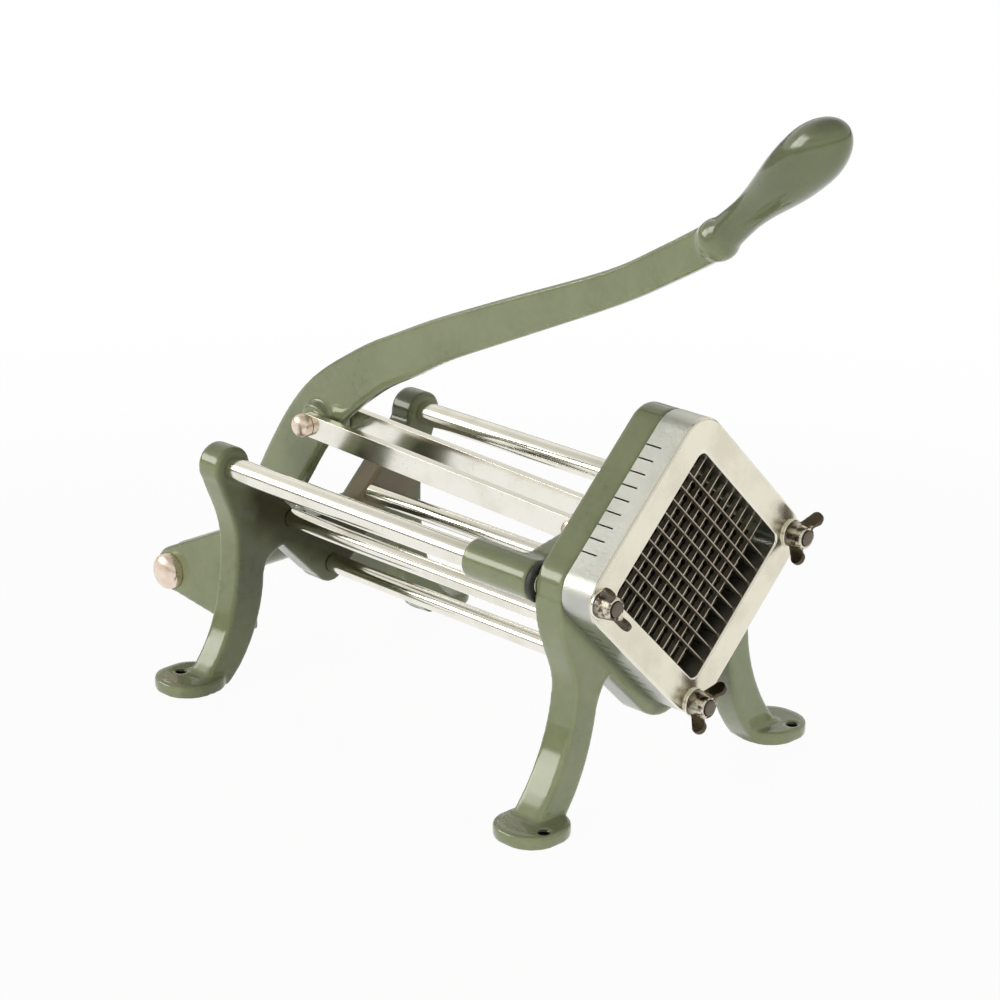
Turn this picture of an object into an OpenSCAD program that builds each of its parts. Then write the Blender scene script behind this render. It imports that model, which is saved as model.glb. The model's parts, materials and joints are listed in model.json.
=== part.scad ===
// Lever-operated french fry cutter.
// X runs across the machine, Y from the blades (-Y) to the lever's pivot (+Y), Z up.
// The origin lies on the table, at the centre of the four foot holes.

/* [Stance] */
// Height of the guide rods' axes above the table
axis_h = 151; // [145:1:165]
// Distance between the foot holes, side to side
foot_hole_across = 230; // [224:1:240]
// Diameter of the foot holes
foot_hole_d = 7; // [5:0.5:9]
// Thickness of the foot pads
foot_t = 9; // [8:0.5:14]
// Distance from the front foot holes back to the front casting's face
front_toe = 9; // [8:0.5:11]
// Distance from the rear casting's back face to the rear foot holes
rear_heel = 4; // [3:0.5:7]

/* [Castings] */
// Thickness of the front casting
ring_t = 22; // [18:1:26]
// Thickness of the rear casting
rear_t = 20; // [17:1:24]
// Side of the square opening that the push block passes
ring_opening_side = 99; // [98:0.5:101]
// How far the front casting stands out below the blade holder
skirt_lip = 8.8; // [5:0.2:12]
// Outer radius of the rear casting's rod bosses
rear_boss_r = 14.5; // [13:0.5:17]
// Thickness of each of the two pivot lugs
lug_t = 12; // [9:1:14]
// Radius of the pivot lugs' round ends
lug_end_r = 16; // [14:0.5:18]

/* [Blade holder] */
// Side of the blade holder
holder_side = 145; // [142:1:150]
// Outer corner radius of the blade holder
holder_corner_r = 20; // [16:1:22]
// Thickness of the blade holder
holder_t = 24; // [23:0.5:28]
// Side of the blade holder's opening
opening_side = 105; // [100:1:106]
// Number of blades in each of the two crossing sets
blade_count = 9; // [5:1:9]
// Distance between blades
blade_pitch = 9.525; // [9:0.1:10]
// Thickness of a blade
blade_t = 0.8; // [0.5:0.1:1.2]
// Depth of a blade along the cut
blade_depth = 3.5; // [3:0.25:4.5]
// Diameter of the pins through the blade ends
blade_pin_d = 2; // [1.5:0.25:2.5]

/* [Rods] */
// Diameter of the two side guide rods
guide_rod_d = 16; // [14:0.5:17]
// Distance of the side guide rods from the middle
guide_rod_x = 86.5; // [85:0.5:88]
// Diameter of the bottom guide rod
bottom_rod_d = 12.7; // [11:0.1:14]
// How far the bottom rod lies below the side rods
bottom_rod_drop = 88; // [86:0.5:89]
// Diameter of the two support rods
support_rod_d = 12.7; // [11:0.1:13.5]
// Distance of the support rods from the middle
support_rod_x = 36.5; // [35:0.5:39]
// Diameter of the threaded rod ends
stud_d = 9.5; // [8:0.5:10]
// Clear length of the rods between the castings
rod_span = 282; // [276:1:310]
// Length of the rubber bumpers
bumper_len = 3.5; // [3:0.5:8]
// Outer diameter of the rubber bumpers
bumper_od = 26; // [24:0.5:28]

/* [Wing nuts] */
// Height of a wing nut's hub
nut_h = 11; // [9:0.5:14]
// Distance of the wings' tips from the nut's axis
wing_reach = 18; // [16:0.5:20]
// Thickness of a wing
wing_t = 3.4; // [2.5:0.1:4.5]
// Thickness of the washers under the wing nuts
washer_t = 1.6; // [1:0.1:2.5]

/* [Pusher] */
// Outer diameter of the carriage sleeves
sleeve_od = 26; // [25:0.5:29]
// Length of the carriage sleeves
sleeve_len = 54; // [46:1:60]
// Side of the push block's plate
block_side = 95; // [94:0.5:96]
// Thickness of the push block's plate
block_t = 8; // [6:0.5:10]
// Number of studs along each side of the push block
stud_count = 10; // [6:1:10]
// Width of one stud of the push block
block_stud_w = 7.2; // [6:0.1:8]
// Height of the carriage pin above the guide rods' axes
carriage_pin_rise = 4; // [0:0.5:6]

/* [Lever and links] */
// Diameter of the link pins
link_pin_d = 10; // [8:0.5:11]
// Height of a link bar
link_h = 15.5; // [15:0.5:18]
// Thickness of a link bar
link_t = 6; // [4:0.5:8]
// Half of the gap between the two link bars
link_half_gap = 12.5; // [11:0.5:14]
// Diameter of the lever's pivot pin
pivot_pin_d = 16; // [14:0.5:18]
// Distance of the pivot behind the rear casting
pivot_behind = 65; // [60:1:70]
// How far the pivot lies below the guide rods' axes
pivot_drop = 98.5; // [96:0.5:101]
// Distance between the lever's pivot and its link pin
crank_len = 136.9; // [132:0.1:140]
// Angle of the link pin about the pivot, from the rear horizontal
crank_angle = 125.2; // [124:0.1:127]
// Thickness of the lever's flat bar
lever_t = 12; // [10:0.5:16]
// Outer diameter of the lever's barrel
barrel_od = 34; // [30:1:38]
// Half length of the lever's barrel
barrel_half = 59.5; // [50:0.5:60]
// Largest diameter of the grip
grip_d = 36.4; // [34:0.2:42]
// Diameter of the grip's neck
neck_d = 21; // [18:0.5:24]
// Length of the grip from the knuckle's middle to its tip
grip_len = 120; // [105:1:125]
// Radius of the knuckle between the lever and its grip
knuckle_r = 13.5; // [13:0.25:16]

/* [Hidden] */
$fn = 64;

enamel = [0.50, 0.53, 0.40];
steel = [0.78, 0.78, 0.76];
alloy = [0.86, 0.84, 0.76];
blade_steel = [0.45, 0.43, 0.38];
bronze = [0.22, 0.17, 0.12];
copper = [0.80, 0.62, 0.50];
black = [0.10, 0.10, 0.09];

// Clearances, as gaps on the radius or on one face
running = 0.08;
fixed = 0.05;
side_gap = 0.3;

// Stations along Y
foot_hole_along = front_toe + ring_t + rod_span + rear_t + rear_heel;
ring_front = -foot_hole_along / 2 + front_toe;
ring_back = ring_front + ring_t;
rear_front = ring_back + rod_span;
rear_back = rear_front + rear_t;
holder_front = ring_front - holder_t;

// Rod places in the front view, as [x, height above the side rods' axes]
left_rod = [-guide_rod_x, 0];
right_rod = [guide_rod_x, 0];
bottom_rod = [0, -bottom_rod_drop];
support_drop = support_rod_x + 10;
rod_places = [left_rod, right_rod, bottom_rod];

// Castings: heights are measured from the side rods' axes
ground = -axis_h;
foot_top = ground + foot_t;
foot_x = foot_hole_across / 2;
ankle_x = foot_x - 3;
heel_x = ankle_x - 22;
pad_w = 46;
pad_corner_r = 20;
front_pad_x = foot_x - 28;
rear_pad_x = foot_x - 24;
front_pad_fore = 16.5;
front_pad_aft = 6;
rear_pad_fore = 2;
rear_pad_aft = 14;
corner_reach = holder_side / sqrt(2) - holder_corner_r * (sqrt(2) - 1);
skirt_side = holder_side + 2 * skirt_lip;
skirt_corner_r = 26;
skirt_drop = 40;
knee_x = 79.5;
knee_drop = 66;
arch_x = 60;
arch_drop = 82;
arch_bend = [64, -110];
rear_knee_x = 84;
rear_knee_drop = 55;
rear_arch_x = 61;
rear_arch_drop = 84;
rear_arch_bend = [62, -105];
bottom_boss_r = 14;
v_edge = 75;
v_floor = 52;
curve_steps = 10;

// Blades: the rear set lies against the back edges of the front set
slot_w = blade_t + 0.2;
front_set_y = holder_front + 4;
rear_set_y = front_set_y + blade_depth;
blade_half_span = (blade_count - 1) / 2 * blade_pitch;
blade_pin_place = (opening_side + holder_side) / 4;
blade_pin_half = blade_half_span + 5;
rim_x = holder_side / 2;
blade_half = rim_x - 6.5;
blade_end_gap = 0.4;
rim_slot_deep = 12;

// Rod ends
socket_deep = 12;
socket_d = 8;
nut_face = holder_front - washer_t;
stud_tip = nut_face - nut_h - 1.5;

// Pusher, with the studs' tips just behind the rear blades
stop_gap = 0.5;
sleeve_front = ring_back + bumper_len + stop_gap;
beam_front = sleeve_front + 1;
beam_t = 16;
beam_back = beam_front + beam_t;
block_pad_t = 4;
block_back = beam_front - block_pad_t;
block_face = block_back - block_t;
block_stud_tip = rear_set_y + blade_depth + 1.5;
block_screws = [[-30, -9], [-30, 9], [30, -9], [30, 9]];
block_screw_d = 6;

// Pin places in the side view, as [y, z]
pivot = [rear_back + pivot_behind, axis_h - pivot_drop];
lever_pin = pivot + crank_len * [cos(crank_angle), sin(crank_angle)];
link_eye_r = link_h / 2;
carriage_lug_reach = 20.75;
carriage_pin_at = [beam_back + carriage_lug_reach, axis_h + carriage_pin_rise];
link_vector = lever_pin - carriage_pin_at;
link_len = norm(link_vector);
link_tilt = atan2(link_vector[1], link_vector[0]);
link_outer = link_half_gap + link_t;
lug_half = link_half_gap - side_gap;
lug_r = 11;
lever_boss_r = 13;
pin_head_d = 16;
pin_head_h = 8.5;
ring_w = 1.6;

// Pivot lugs of the rear casting
lug_inner = barrel_half + 0.5;
lug_outer = lug_inner + lug_t;
pivot_head_d = 24.5;
pivot_head_h = 10;

// Lever bar: [y, z, width] from the pivot to the knuckle, measured from the pivot
lever_stations = [
    [0, 0, barrel_od - 4],
    [-37, 65, 38],
    [lever_pin[0] - pivot[0] + 4, lever_pin[1] - pivot[1] + 7, 38],
    [-122, 155.5, 33],
    [-161, 176.5, 31],
    [-195, 194, 28.5],
    [-251, 219, 26.5],
    [-338, 257.5, 22.5],
    [-383, 282, 22.5],
    [-418.5, 303, 23]
];
knuckle_at = [-418.5, 303];
grip_angle = 137.3;
spline_steps = 5;

// ---------------------------------------------------------------- helpers

// Points of a cubic curve from a to d; a chained curve starts one step later
function curve(a, b, c, d, first = 0) = [
    for (i = [first : curve_steps])
        let (t = i / curve_steps, s = 1 - t)
            s ^ 3 * a + 3 * s ^ 2 * t * b + 3 * s * t ^ 2 * c + t ^ 3 * d
];

// One point of a smooth curve that passes through its stations
function between(p, q, r, s, t) =
    0.5 * (2 * q + (r - p) * t + (2 * p - 5 * q + 4 * r - s) * t ^ 2 + (3 * q - p - 3 * r + s) * t ^ 3);

function smooth(stations) = let (last = len(stations) - 1) concat(
    [
        for (i = [0 : last - 1]) for (j = [0 : spline_steps - 1])
            between(stations[max(i - 1, 0)], stations[i], stations[i + 1], stations[min(i + 2, last)],
                j / spline_steps)
    ],
    [stations[last]]
);

// One edge of a band, half its width to the given side of its centre line
function band_edge(line, side) = [
    for (i = [0 : len(line) - 1])
        let (
            step = line[min(i + 1, len(line) - 1)] - line[max(i - 1, 0)],
            across = [-step[1], step[0]] / norm([step[0], step[1]])
        )
            [line[i][0], line[i][1]] + side * line[i][2] / 2 * across
];

function reversed(points) = [for (i = [len(points) - 1 : -1 : 0]) points[i]];

// A front-view outline as a plate from y0 back to y1
module front_plate(y0, y1) {
    translate([0, y1, 0]) rotate([90, 0, 0]) linear_extrude(y1 - y0) children();
}

// A side-view outline as a plate from x0 to x1
module side_plate(x0, x1) {
    translate([x0, 0, 0]) rotate([90, 0, 90]) linear_extrude(x1 - x0) children();
}

module both_sides() {
    children();
    mirror([1, 0, 0]) children();
}

module along_y(place, y0, y1, d) {
    translate([place[0], y0, axis_h + place[1]]) rotate([-90, 0, 0]) cylinder(d = d, h = y1 - y0);
}

module along_x(place, x0, x1, d) {
    translate([x0, place[0], place[1]]) rotate([0, 90, 0]) cylinder(d = d, h = x1 - x0);
}

module rounded_rect(x0, x1, y0, y1, r) {
    translate([x0 + r, y0]) square([x1 - x0 - 2 * r, y1 - y0]);
    translate([x0, y0 + r]) square([x1 - x0, y1 - y0 - 2 * r]);
    for (x = [x0 + r, x1 - r]) for (y = [y0 + r, y1 - r]) translate([x, y]) circle(r);
}

module diamond(side, corner_r) {
    rotate(45) rounded_rect(-side / 2, side / 2, -side / 2, side / 2, corner_r);
}

module foot_pad(x0, y0, y1) {
    linear_extrude(foot_t) rounded_rect(x0, x0 + pad_w, y0, y1, pad_corner_r);
}

module foot_holes(y) {
    for (x = [-foot_x, foot_x]) translate([x, y, -1]) cylinder(d = foot_hole_d, h = foot_t + 2);
}

// Blind sockets for the support rods' ends, cut from y0 to y1
module support_sockets(y0, y1) {
    for (x = [-support_rod_x, support_rod_x])
        along_y([x, -support_drop], y0, y1, socket_d + 2 * fixed);
}

// A pin head with a domed top, standing on the z = 0 plane
module domed_head(d, h) {
    dome_r = 0.62 * d;
    intersection() {
        cylinder(d = d, h = h);
        translate([0, 0, h - dome_r]) sphere(dome_r);
    }
}

module retaining_ring(place, x, pin_d) {
    difference() {
        along_x(place, x, x + ring_w, pin_d + 7);
        along_x(place, x - 1, x + ring_w + 1, pin_d - 1.2);
    }
}

// ---------------------------------------------------------------- castings

module front_leg_outline() {
    outer_upper = curve([corner_reach + 1, -5], [corner_reach + 1, -36], [knee_x, -50], [knee_x, -knee_drop]);
    outer_lower = curve([knee_x, -knee_drop], [knee_x, -knee_drop - 24],
        [ankle_x - 20, foot_top + 21], [ankle_x, foot_top], 1);
    inner_lower = curve([heel_x, ground], [heel_x - 15, ground + 16], arch_bend, [arch_x, -arch_drop]);
    inner_upper = curve([arch_x, -arch_drop], [arch_x - 3, 10 - arch_drop],
        [arch_x - 5, 14 - arch_drop], [arch_x - 10, 18 - arch_drop], 1);
    polygon(concat(outer_upper, outer_lower, [[ankle_x, ground]], inner_lower, inner_upper, [[62, -25]]));
}

module front_outline() {
    diamond(holder_side, holder_corner_r);
    intersection() {
        diamond(skirt_side, skirt_corner_r);
        translate([-holder_side / 2, -holder_side]) square([holder_side, holder_side - skirt_drop]);
    }
    front_leg_outline();
    mirror([1, 0]) front_leg_outline();
}

module front_casting() {
    color(enamel) difference() {
        union() {
            translate([0, 0, axis_h]) front_plate(ring_front, ring_back) front_outline();
            both_sides() foot_pad(front_pad_x, ring_front - front_pad_fore, ring_back + front_pad_aft);
        }
        translate([0, 0, axis_h]) front_plate(ring_front - 1, ring_back + 1) diamond(ring_opening_side, 5);
        for (place = rod_places) along_y(place, ring_front - 1, ring_back + 1, stud_d + 2 * fixed);
        support_sockets(ring_back - socket_deep, ring_back + 1);
        foot_holes(ring_front - front_toe);
    }
}

module rear_leg_outline() {
    outer_upper = curve([guide_rod_x + 12.5, -6], [guide_rod_x + 8, -22],
        [rear_knee_x, -35], [rear_knee_x, -rear_knee_drop]);
    outer_lower = curve([rear_knee_x, -rear_knee_drop], [rear_knee_x, -rear_knee_drop - 40],
        [ankle_x - 20, foot_top + 21], [ankle_x, foot_top], 1);
    inner_lower = curve([heel_x + 3, ground], [heel_x - 17, ground + 16],
        rear_arch_bend, [rear_arch_x, -rear_arch_drop]);
    inner_upper = curve([rear_arch_x, -rear_arch_drop], [rear_arch_x - 0.5, 12 - rear_arch_drop],
        [rear_arch_x - 5, 16 - rear_arch_drop], [rear_arch_x - 19, 20 - rear_arch_drop], 1);
    polygon(concat(outer_upper, outer_lower, [[ankle_x, ground]], inner_lower, inner_upper,
        [[60, -30], [guide_rod_x - 8, -6]]));
}

module web_outline() {
    lower_edge = bottom_rod_drop + bottom_boss_r * sqrt(2);
    difference() {
        polygon([[guide_rod_x, -4], [guide_rod_x, guide_rod_x - lower_edge], [0, -lower_edge],
            [-guide_rod_x, guide_rod_x - lower_edge], [-guide_rod_x, -4]]);
        polygon([[v_edge, 0], [v_edge - v_floor, -v_floor], [v_floor - v_edge, -v_floor], [-v_edge, 0]]);
        translate([-bottom_boss_r, -lower_edge - 1])
            square([2 * bottom_boss_r, lower_edge - bottom_rod_drop]);
    }
    translate([0, -bottom_rod_drop]) circle(bottom_boss_r);
}

module pivot_lug_outline() {
    top = pivot[1] + lug_end_r;
    bottom = pivot[1] - lug_end_r;
    polygon([[rear_front + 8, top + 38], [rear_back + 3, top + 37], [rear_back + 11, top + 28],
        [pivot[0] + 6, top - 1], [pivot[0] - 3, bottom + 0.3], [rear_back, bottom - 8],
        [rear_front + 8, bottom - 8]]);
    translate(pivot) circle(lug_end_r);
}

module rear_casting() {
    color(enamel) difference() {
        union() {
            translate([0, 0, axis_h]) front_plate(rear_front, rear_back) {
                web_outline();
                rear_leg_outline();
                mirror([1, 0]) rear_leg_outline();
                for (place = [left_rod, right_rod]) translate(place) circle(rear_boss_r);
            }
            both_sides() side_plate(lug_inner, lug_outer) pivot_lug_outline();
            both_sides() foot_pad(rear_pad_x, rear_front - rear_pad_fore, rear_back + rear_pad_aft);
        }
        for (place = rod_places)
            along_y(place, rear_front - 1, rear_front + socket_deep, stud_d + 2 * fixed);
        support_sockets(rear_front - 1, rear_front + socket_deep);
        along_x(pivot, -lug_outer - 1, lug_outer + 1, pivot_pin_d + 2 * fixed);
        foot_holes(rear_back + rear_heel);
    }
}

// ---------------------------------------------------------------- blade frame

// Turns upright work into the blade holder's own square, standing on its corner
module in_diamond() {
    translate([0, 0, axis_h]) rotate([0, 45, 0]) children();
}

// Bars along the diamond's z axis, as the rear blades lie
module blade_row(w, y0, y1, half_len) {
    for (i = [0 : blade_count - 1]) {
        x = i * blade_pitch - blade_half_span;
        translate([x - w / 2, y0, -half_len]) cube([w, y1 - y0, 2 * half_len]);
    }
}

// Turns rear-set work to the front set, whose blades lie along the diamond's x axis
module to_front_set() {
    rotate([0, 90, 0]) children();
}

// Pins across the two ends of a set's blades
module pin_row(y, d, half_len) {
    for (z = [-blade_pin_place, blade_pin_place])
        translate([-half_len, y, z]) rotate([0, 90, 0]) cylinder(d = d, h = 2 * half_len);
}

// Cuts in the holder for one set: slots for the blades and grooves for their pins, all open
// at the back, and the last part of each slot sawn right through the rim
module set_cuts(y0, pin_y) {
    blade_row(slot_w, y0 - 0.1, ring_front + 1, blade_half + blade_end_gap);
    blade_row(slot_w, ring_front - rim_slot_deep, ring_front + 1, rim_x + 1);
    pin_grooves(pin_y);
}

module pin_grooves(y) {
    w = blade_pin_d + 2 * fixed;
    for (z = [-blade_pin_place, blade_pin_place])
        translate([-blade_pin_half - 0.5, y - w / 2, z - w / 2])
            cube([2 * blade_pin_half + 1, ring_front + 1 - y + w / 2, w]);
}

front_pin_y = front_set_y + blade_depth / 2;
rear_pin_y = rear_set_y + blade_depth / 2;

module blade_holder() {
    color(alloy) difference() {
        translate([0, 0, axis_h]) front_plate(holder_front, ring_front) difference() {
            diamond(holder_side, holder_corner_r);
            diamond(opening_side, 6);
        }
        for (place = rod_places)
            along_y(place, holder_front - 1, ring_front + 1, stud_d + 2 * fixed);
        in_diamond() {
            to_front_set() set_cuts(front_set_y, front_pin_y);
            set_cuts(rear_set_y, rear_pin_y);
        }
    }
}

module blade_set(y0, pin_y) {
    difference() {
        blade_row(blade_t, y0, y0 + blade_depth, blade_half);
        pin_row(pin_y, blade_pin_d + 4 * fixed, rim_x);
    }
}

module front_blades() {
    color(blade_steel) in_diamond() to_front_set() blade_set(front_set_y, front_pin_y);
}

module rear_blades() {
    color(blade_steel) in_diamond() blade_set(rear_set_y, rear_pin_y);
}

module blade_pins() {
    color(steel) in_diamond() {
        to_front_set() pin_row(front_pin_y, blade_pin_d, blade_pin_half);
        pin_row(rear_pin_y, blade_pin_d, blade_pin_half);
    }
}

// ---------------------------------------------------------------- rods

// A guide rod: threaded ends screwed into the castings, the front one long enough for its wing nut
module guide_rod(place, d) {
    color(steel) {
        along_y(place, stud_tip, ring_back + 1, stud_d);
        along_y(place, ring_back, rear_front, d);
        along_y(place, rear_front - 1, rear_front + socket_deep - 1, stud_d);
    }
}

module support_rod(x) {
    place = [x, -support_drop];
    color(steel) {
        along_y(place, ring_back - socket_deep + 1, rear_front + socket_deep - 1, socket_d);
        along_y(place, ring_back, rear_front, support_rod_d);
    }
}

module left_guide_rod() { guide_rod(left_rod, guide_rod_d); }
module right_guide_rod() { guide_rod(right_rod, guide_rod_d); }
module bottom_guide_rod() { guide_rod(bottom_rod, bottom_rod_d); }
module left_support_rod() { support_rod(-support_rod_x); }
module right_support_rod() { support_rod(support_rod_x); }

module bumper(place) {
    color(black) difference() {
        along_y(place, ring_back, ring_back + bumper_len, bumper_od);
        along_y(place, ring_back - 1, ring_back + bumper_len + 1, guide_rod_d + 2 * fixed);
    }
}

module left_bumper() { bumper(left_rod); }
module right_bumper() { bumper(right_rod); }

// ---------------------------------------------------------------- wing nuts

module wing_outline() {
    tip_r = 4.6;
    polygon([[3, 1], [8, 1.5], [wing_reach - 1.2, nut_h - 3], [wing_reach - tip_r, nut_h + tip_r],
        [3, nut_h - 3]]);
    translate([wing_reach - tip_r, nut_h]) circle(tip_r);
}

module wing_nut(place, turn) {
    bore = stud_d + 2 * running;
    base_r = stud_d / 2 + 3.8;
    color(bronze) translate([place[0], nut_face, axis_h + place[1]]) rotate([90, 0, 0]) rotate(turn)
        difference() {
            union() {
                cylinder(r1 = base_r, r2 = base_r - 1.6, h = nut_h);
                for (half = [0, 180])
                    rotate(half) translate([0, wing_t / 2, 0]) rotate([90, 0, 0])
                        linear_extrude(wing_t) wing_outline();
            }
            translate([0, 0, -1]) cylinder(d = bore, h = nut_h + 8);
        }
}

module left_wing_nut() { wing_nut(left_rod, 122); }
module right_wing_nut() { wing_nut(right_rod, 52); }
module bottom_wing_nut() { wing_nut(bottom_rod, 48); }

module wing_nut_washers() {
    color(steel) for (place = rod_places) difference() {
        along_y(place, nut_face, holder_front, stud_d + 9);
        along_y(place, nut_face - 1, holder_front + 1, stud_d + 2 * fixed);
    }
}

// ---------------------------------------------------------------- pusher

module beam_outline() {
    end_half = sleeve_od / 2 - 2;
    mid_half = 19;
    polygon([[-guide_rod_x, -end_half], [-45, -mid_half], [45, -mid_half], [guide_rod_x, -end_half],
        [guide_rod_x, end_half], [45, mid_half], [-45, mid_half], [-guide_rod_x, end_half]]);
}

module lug_outline() {
    translate([beam_back - 2, carriage_pin_at[1] - lug_r])
        square([carriage_pin_at[0] - beam_back + 2, 2 * lug_r]);
    translate(carriage_pin_at) circle(lug_r);
}

module pusher_carriage() {
    color(enamel) difference() {
        union() {
            for (place = [left_rod, right_rod])
                along_y(place, sleeve_front, sleeve_front + sleeve_len, sleeve_od);
            translate([0, 0, axis_h]) front_plate(beam_front, beam_back) beam_outline();
            translate([0, 0, axis_h]) front_plate(block_back, beam_front + 1)
                rounded_rect(-38, 38, -17, 17, 6);
            side_plate(-lug_half, lug_half) lug_outline();
        }
        for (place = [left_rod, right_rod])
            along_y(place, sleeve_front - 1, sleeve_front + sleeve_len + 1, guide_rod_d + 2 * running);
        for (place = block_screws) along_y(place, block_back - 1, beam_back + 1, block_screw_d + 2 * fixed);
        along_x(carriage_pin_at, -lug_half - 1, lug_half + 1, link_pin_d + 2 * fixed);
    }
}

module push_block() {
    stud_span = (stud_count - 1) * blade_pitch + block_stud_w;
    cut_w = blade_pitch - block_stud_w;
    half = stud_span / 2;
    color(black) difference() {
        union() {
            translate([0, 0, axis_h]) front_plate(block_face, block_back) diamond(block_side, 4);
            in_diamond() translate([-half, block_stud_tip, -half])
                cube([stud_span, block_face - block_stud_tip + 1, stud_span]);
        }
        in_diamond() for (i = [1 : stud_count - 1]) {
            at = i * blade_pitch - cut_w - half;
            translate([at, block_stud_tip - 1, -half - 1])
                cube([cut_w, block_face - block_stud_tip + 1, stud_span + 2]);
            translate([-half - 1, block_stud_tip - 1, at])
                cube([stud_span + 2, block_face - block_stud_tip + 1, cut_w]);
        }
        for (place = block_screws) along_y(place, block_back - 6, block_back + 1, block_screw_d + 2 * fixed);
    }
}

module push_block_screws() {
    color(steel) for (place = block_screws) {
        along_y(place, block_back - 5, beam_back + 1, block_screw_d);
        along_y(place, beam_back, beam_back + 3.5, block_screw_d * 1.6);
    }
}

// ---------------------------------------------------------------- links

module link_outline() {
    translate(carriage_pin_at) rotate(link_tilt) difference() {
        union() {
            translate([0, -link_h / 2]) square([link_len, link_h]);
            circle(link_eye_r);
            translate([link_len, 0]) circle(link_eye_r);
        }
        circle(d = link_pin_d + 2 * fixed);
        translate([link_len, 0]) circle(d = link_pin_d + 2 * running);
    }
}

module left_link_bar() {
    color(steel) side_plate(-link_outer, -link_half_gap) link_outline();
}

module right_link_bar() {
    color(steel) side_plate(link_half_gap, link_outer) link_outline();
}

// The part of the carriage pin inside the carriage's lug
module carriage_pin() {
    color(copper) along_x(carriage_pin_at, -lug_half, lug_half, link_pin_d);
}

// The two ends of the carriage pin, which ride on the link bars
module carriage_pin_heads() {
    color(copper) both_sides() {
        along_x(carriage_pin_at, link_half_gap, link_outer + 1, link_pin_d);
        translate([link_outer, carriage_pin_at[0], carriage_pin_at[1]]) rotate([0, 90, 0])
            domed_head(link_h - 0.5, 5);
    }
}

// A pin with a domed head at -X and a groove for its retaining ring at +X
module headed_pin(place, half, d, head_d, head_h) {
    face = half + side_gap;
    difference() {
        union() {
            along_x(place, -face - 1, face + ring_w + 2.5, d);
            translate([-face, place[0], place[1]]) rotate([0, -90, 0]) domed_head(head_d, head_h);
        }
        difference() {
            along_x(place, face, face + ring_w, d + 2);
            along_x(place, face - 1, face + ring_w + 1, d - 1.4);
        }
    }
}

module link_pin() {
    color(copper) headed_pin(lever_pin, link_outer, link_pin_d, pin_head_d, pin_head_h);
}

module link_pin_ring() {
    color(steel) retaining_ring(lever_pin, link_outer + side_gap, link_pin_d);
}

// ---------------------------------------------------------------- lever

// A pear-shaped grip, turned about its own axis from the knuckle's middle to its tip
module grip() {
    neck_r = neck_d / 2;
    grip_r = grip_d / 2;
    fullest = 0.74 * grip_len;
    end_len = grip_len - fullest;
    swell = curve([neck_r, 0.2 * grip_len], [neck_r, 0.4 * grip_len],
        [grip_r, 0.5 * grip_len], [grip_r, fullest]);
    end = curve([grip_r, fullest], [grip_r, fullest + 0.55 * end_len],
        [0.55 * grip_r, grip_len], [0, grip_len], 1);
    rotate_extrude() polygon(concat([[0, 0], [neck_r + 1, 0]], swell, end));
}

module handle_lever() {
    line = smooth(lever_stations);
    boss_half = link_half_gap - side_gap;
    color(enamel) difference() {
        union() {
            translate([0, pivot[0], pivot[1]]) side_plate(-lever_t / 2, lever_t / 2)
                polygon(concat(band_edge(line, 1), reversed(band_edge(line, -1))));
            along_x(pivot, -barrel_half, barrel_half, barrel_od);
            along_x(lever_pin, -boss_half, boss_half, 2 * lever_boss_r);
            translate([0, pivot[0] + knuckle_at[0], pivot[1] + knuckle_at[1]]) {
                sphere(knuckle_r);
                rotate([grip_angle - 90, 0, 0]) grip();
            }
        }
        along_x(pivot, -barrel_half - 1, barrel_half + 1, pivot_pin_d + 2 * running);
        along_x(lever_pin, -boss_half - 1, boss_half + 1, link_pin_d + 2 * fixed);
    }
}

module pivot_pin() {
    color(copper) headed_pin(pivot, lug_outer, pivot_pin_d, pivot_head_d, pivot_head_h);
}

module pivot_pin_ring() {
    color(steel) retaining_ring(pivot, lug_outer + side_gap, pivot_pin_d);
}

front_casting();
rear_casting();
blade_holder();
front_blades();
rear_blades();
blade_pins();
left_guide_rod();
right_guide_rod();
bottom_guide_rod();
left_support_rod();
right_support_rod();
left_wing_nut();
right_wing_nut();
bottom_wing_nut();
wing_nut_washers();
left_bumper();
right_bumper();
pusher_carriage();
push_block();
push_block_screws();
left_link_bar();
right_link_bar();
link_pin();
link_pin_ring();
carriage_pin();
carriage_pin_heads();
handle_lever();
pivot_pin();
pivot_pin_ring();
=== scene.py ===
import json
import math

import bmesh
import bpy
import numpy as np
from mathutils import Matrix, Vector

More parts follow.
